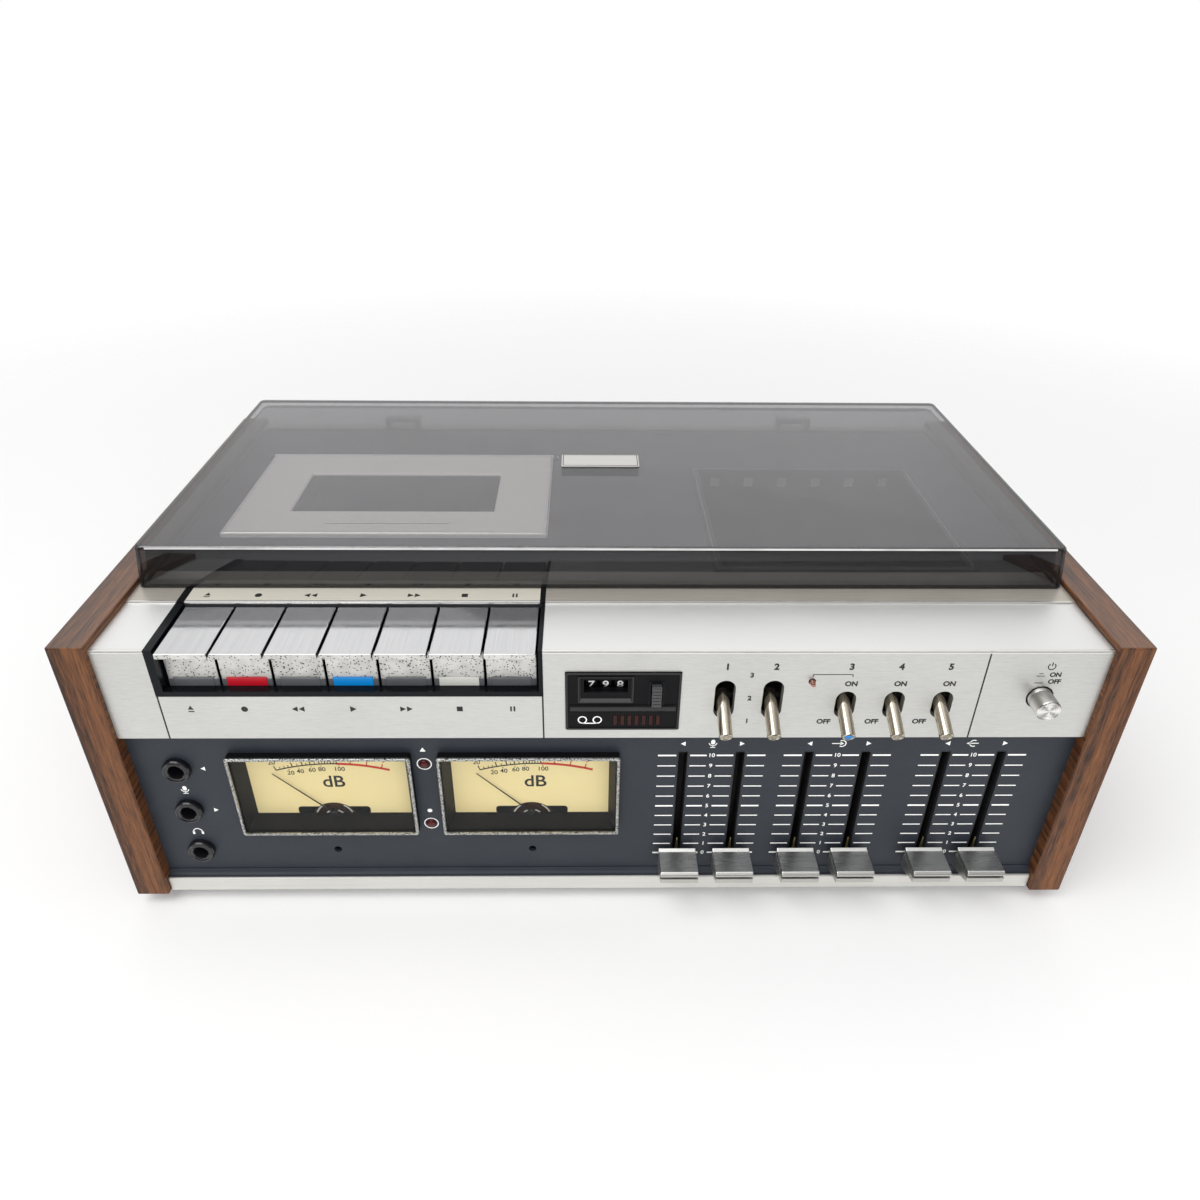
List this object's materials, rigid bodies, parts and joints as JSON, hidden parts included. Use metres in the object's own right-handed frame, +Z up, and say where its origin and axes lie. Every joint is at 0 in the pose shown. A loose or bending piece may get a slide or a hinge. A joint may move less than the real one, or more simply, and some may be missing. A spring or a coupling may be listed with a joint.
{
  "type": "stereo cassette deck",
  "caption": "Low cassette deck with walnut cheeks, piano keys, needle meters, slide faders, lever switches and a hinged clear cover over a cassette bay and storage well",
  "frame": {"origin": "middle of the part's box, on the plane of the feet's undersides", "axes": "+X to the user's right, +Y away from the user, +Z up"},
  "size_m": [0.44, 0.2656, 0.167],
  "materials": {
    "walnut": "oiled walnut veneer",
    "sheet_steel": "plated sheet",
    "rubber": "matte",
    "black_steel": "fine matte paint",
    "silver": "horizontally brushed",
    "charcoal": "satin charcoal",
    "deck_grey": "brushed",
    "black_plastic": "moulded",
    "steel_rod": "turned",
    "dial_card": "printed card",
    "clear_lens": "clear",
    "red_lens": "tinted lens",
    "control_case": "moulded",
    "board_green": "lacquered board",
    "plated_brass": "nickel plated",
    "key_chrome": "polished top, pitted skirt",
    "fader_silver": "brushed, bright edges",
    "needle_black": "painted",
    "smoked_cover": "clear smoky acrylic",
    "smoked_window": "smoked acrylic"
  },
  "bodies": {
    "case": {"left_cheek": "walnut", "right_cheek": "walnut", "chassis": "sheet_steel", "feet": "rubber", "rear_panel": "black_steel", "front_fascia": "silver", "meter_panel": "charcoal", "bottom_trim": "silver", "top_deck": "deck_grey", "key_well": "black_plastic", "key_shaft": "steel_rod", "meter_cases": "black_plastic", "meter_dials": "dial_card", "meter_lenses": "clear_lens", "input_jacks": "black_plastic", "indicator_lenses": "red_lens", "counter_case": "black_plastic", "control_bodies": "control_case", "circuit_board": "board_green", "transformer": "black_steel", "mechanism_plate": "sheet_steel", "motor": "steel_rod", "rear_connectors": "plated_brass", "storage_well": "black_plastic", "screws": "black_steel", "drive_belt": "rubber"},
    "eject_key": {"eject_key": "key_chrome"},
    "record_key": {"record_key": "key_chrome"},
    "rewind_key": {"rewind_key": "key_chrome"},
    "play_key": {"play_key": "key_chrome"},
    "forward_key": {"forward_key": "key_chrome"},
    "stop_key": {"stop_key": "key_chrome"},
    "pause_key": {"pause_key": "key_chrome"},
    "mic_left_fader": {"mic_left_fader": "fader_silver"},
    "mic_right_fader": {"mic_right_fader": "fader_silver"},
    "line_left_fader": {"line_left_fader": "fader_silver"},
    "line_right_fader": {"line_right_fader": "fader_silver"},
    "output_left_fader": {"output_left_fader": "fader_silver"},
    "output_right_fader": {"output_right_fader": "fader_silver"},
    "bias_lever": {"bias_lever": "plated_brass"},
    "equaliser_lever": {"equaliser_lever": "plated_brass"},
    "noise_filter_lever": {"noise_filter_lever": "plated_brass"},
    "copy_lever": {"copy_lever": "plated_brass"},
    "timer_lever": {"timer_lever": "plated_brass"},
    "power_knob": {"power_knob": "steel_rod"},
    "counter_reset": {"counter_reset": "black_plastic"},
    "left_needle": {"left_needle": "needle_black"},
    "right_needle": {"right_needle": "needle_black"},
    "dust_cover": {"dust_cover": "smoked_cover"},
    "cassette_lid": {"cassette_lid": "deck_grey", "lid_window": "smoked_window"},
    "flywheel": {"flywheel": "steel_rod"},
    "motor_pulley": {"motor_pulley": "plated_brass"},
    "supply_reel": {"supply_reel": "black_plastic"},
    "take_up_reel": {"take_up_reel": "black_plastic"},
    "head_bridge": {"head_bridge": "sheet_steel"},
    "pinch_roller": {"pinch_roller": "rubber"},
    "hundreds_wheel": {"hundreds_wheel": "black_plastic"},
    "tens_wheel": {"tens_wheel": "black_plastic"},
    "units_wheel": {"units_wheel": "black_plastic"}
  },
  "joints": [
    {"name": "eject_key_press", "type": "hinge", "parent": "case", "child": "eject_key", "pos_m": [-0.16885, -0.04875, 0.129], "axis": [1, 0, 0], "range_deg": [0, 6.5], "stiffness_Nm_per_rad": 0.4, "springref_deg": -11.46},
    {"name": "record_key_press", "type": "hinge", "parent": "case", "child": "record_key", "pos_m": [-0.14715, -0.04875, 0.129], "axis": [1, 0, 0], "range_deg": [0, 6.5], "stiffness_Nm_per_rad": 0.4, "springref_deg": -11.46},
    {"name": "rewind_key_press", "type": "hinge", "parent": "case", "child": "rewind_key", "pos_m": [-0.12545, -0.04875, 0.129], "axis": [1, 0, 0], "range_deg": [0, 6.5], "stiffness_Nm_per_rad": 0.4, "springref_deg": -11.46},
    {"name": "play_key_press", "type": "hinge", "parent": "case", "child": "play_key", "pos_m": [-0.10375, -0.04875, 0.129], "axis": [1, 0, 0], "range_deg": [0, 6.5], "stiffness_Nm_per_rad": 0.4, "springref_deg": -11.46},
    {"name": "forward_key_press", "type": "hinge", "parent": "case", "child": "forward_key", "pos_m": [-0.08205, -0.04875, 0.129], "axis": [1, 0, 0], "range_deg": [0, 6.5], "stiffness_Nm_per_rad": 0.4, "springref_deg": -11.46},
    {"name": "stop_key_press", "type": "hinge", "parent": "case", "child": "stop_key", "pos_m": [-0.06035, -0.04875, 0.129], "axis": [1, 0, 0], "range_deg": [0, 6.5], "stiffness_Nm_per_rad": 0.4, "springref_deg": -11.46},
    {"name": "pause_key_press", "type": "hinge", "parent": "case", "child": "pause_key", "pos_m": [-0.03865, -0.04875, 0.129], "axis": [1, 0, 0], "range_deg": [0, 6.5], "stiffness_Nm_per_rad": 0.4, "springref_deg": -11.46},
    {"name": "mic_left_fader_slide", "type": "slide", "parent": "case", "child": "mic_left_fader", "axis": [0, 0, 1], "range_m": [0, 0.0605]},
    {"name": "mic_right_fader_slide", "type": "slide", "parent": "case", "child": "mic_right_fader", "axis": [0, 0, 1], "range_m": [0, 0.0605]},
    {"name": "line_left_fader_slide", "type": "slide", "parent": "case", "child": "line_left_fader", "axis": [0, 0, 1], "range_m": [0, 0.0605]},
    {"name": "line_right_fader_slide", "type": "slide", "parent": "case", "child": "line_right_fader", "axis": [0, 0, 1], "range_m": [0, 0.0605]},
    {"name": "output_left_fader_slide", "type": "slide", "parent": "case", "child": "output_left_fader", "axis": [0, 0, 1], "range_m": [0, 0.0605]},
    {"name": "output_right_fader_slide", "type": "slide", "parent": "case", "child": "output_right_fader", "axis": [0, 0, 1], "range_m": [0, 0.0605]},
    {"name": "bias_lever_tilt", "type": "hinge", "parent": "case", "child": "bias_lever", "pos_m": [0.0492, -0.11175, 0.1197], "axis": [-1, 0, 0], "range_deg": [0, 68]},
    {"name": "equaliser_lever_tilt", "type": "hinge", "parent": "case", "child": "equaliser_lever", "pos_m": [0.0691, -0.11175, 0.1197], "axis": [-1, 0, 0], "range_deg": [0, 68]},
    {"name": "noise_filter_lever_tilt", "type": "hinge", "parent": "case", "child": "noise_filter_lever", "pos_m": [0.0997, -0.11175, 0.1197], "axis": [-1, 0, 0], "range_deg": [0, 46]},
    {"name": "copy_lever_tilt", "type": "hinge", "parent": "case", "child": "copy_lever", "pos_m": [0.12, -0.11175, 0.1197], "axis": [-1, 0, 0], "range_deg": [0, 46]},
    {"name": "timer_lever_tilt", "type": "hinge", "parent": "case", "child": "timer_lever", "pos_m": [0.1402, -0.11175, 0.1197], "axis": [-1, 0, 0], "range_deg": [0, 46]},
    {"name": "power_push", "type": "slide", "parent": "case", "child": "power_knob", "axis": [0, 1, 0], "range_m": [0, 0.004], "stiffness_N_per_m": 250, "springref_m": -0.01},
    {"name": "reset_push", "type": "slide", "parent": "case", "child": "counter_reset", "axis": [0, 1, 0], "range_m": [0, 0.0022], "stiffness_N_per_m": 300, "springref_m": -0.006},
    {"name": "left_needle_swing", "type": "hinge", "parent": "case", "child": "left_needle", "pos_m": [-0.12375, -0.1105, 0.0496], "axis": [0, 1, 0], "range_deg": [0, 90], "stiffness_Nm_per_rad": 0.0002, "springref_deg": -22.92},
    {"name": "right_needle_swing", "type": "hinge", "parent": "case", "child": "right_needle", "pos_m": [-0.03295, -0.1105, 0.0496], "axis": [0, 1, 0], "range_deg": [0, 90], "stiffness_Nm_per_rad": 0.0002, "springref_deg": -22.92},
    {"name": "cover_open", "type": "hinge", "parent": "case", "child": "dust_cover", "pos_m": [0, 0.11975, 0.1514], "axis": [-1, 0, 0], "range_deg": [0, 75]},
    {"name": "lid_open", "type": "hinge", "parent": "case", "child": "cassette_lid", "pos_m": [-0.1054, 0.07, 0.1485], "axis": [-1, 0, 0], "range_deg": [0, 45]},
    {"name": "flywheel_spin", "type": "hinge", "parent": "case", "child": "flywheel", "pos_m": [-0.0734, 0.00275, 0.117], "axis": [0, 0, 1], "continuous": true},
    {"name": "pulley_spin", "type": "hinge", "parent": "case", "child": "motor_pulley", "pos_m": [-0.165, 0.04425, 0.117], "axis": [0, 0, 1], "continuous": true},
    {"name": "supply_reel_spin", "type": "hinge", "parent": "case", "child": "supply_reel", "pos_m": [-0.12665, 0.03025, 0.133], "axis": [0, 0, 1], "continuous": true},
    {"name": "take_up_reel_spin", "type": "hinge", "parent": "case", "child": "take_up_reel", "pos_m": [-0.08415, 0.03025, 0.133], "axis": [0, 0, 1], "continuous": true},
    {"name": "bridge_slide", "type": "slide", "parent": "case", "child": "head_bridge", "axis": [0, 1, 0], "range_m": [0, 0.0054]},
    {"name": "pinch_spin", "type": "hinge", "parent": "head_bridge", "child": "pinch_roller", "pos_m": [-0.0734, -0.01025, 0.137], "axis": [0, 0, 1], "continuous": true},
    {"name": "hundreds_wheel_turn", "type": "hinge", "parent": "case", "child": "hundreds_wheel", "pos_m": [-0.00595, -0.10665, 0.129], "axis": [1, 0, 0], "continuous": true},
    {"name": "tens_wheel_turn", "type": "hinge", "parent": "case", "child": "tens_wheel", "pos_m": [0.00005, -0.10665, 0.129], "axis": [1, 0, 0], "continuous": true},
    {"name": "units_wheel_turn", "type": "hinge", "parent": "case", "child": "units_wheel", "pos_m": [0.00605, -0.10665, 0.129], "axis": [1, 0, 0], "continuous": true}
  ],
  "couplings": [
    {"joint": "lid_open", "follows": "cover_open", "ratio": 0.6},
    {"joint": "pulley_spin", "follows": "flywheel_spin", "ratio": 5.8333},
    {"joint": "units_wheel_turn", "follows": "take_up_reel_spin", "ratio": 0.2},
    {"joint": "tens_wheel_turn", "follows": "take_up_reel_spin", "ratio": 0.02},
    {"joint": "hundreds_wheel_turn", "follows": "take_up_reel_spin", "ratio": 0.002},
    {"joint": "bridge_slide", "follows": "play_key_press", "m_per_rad": 0.047576}
  ]
}
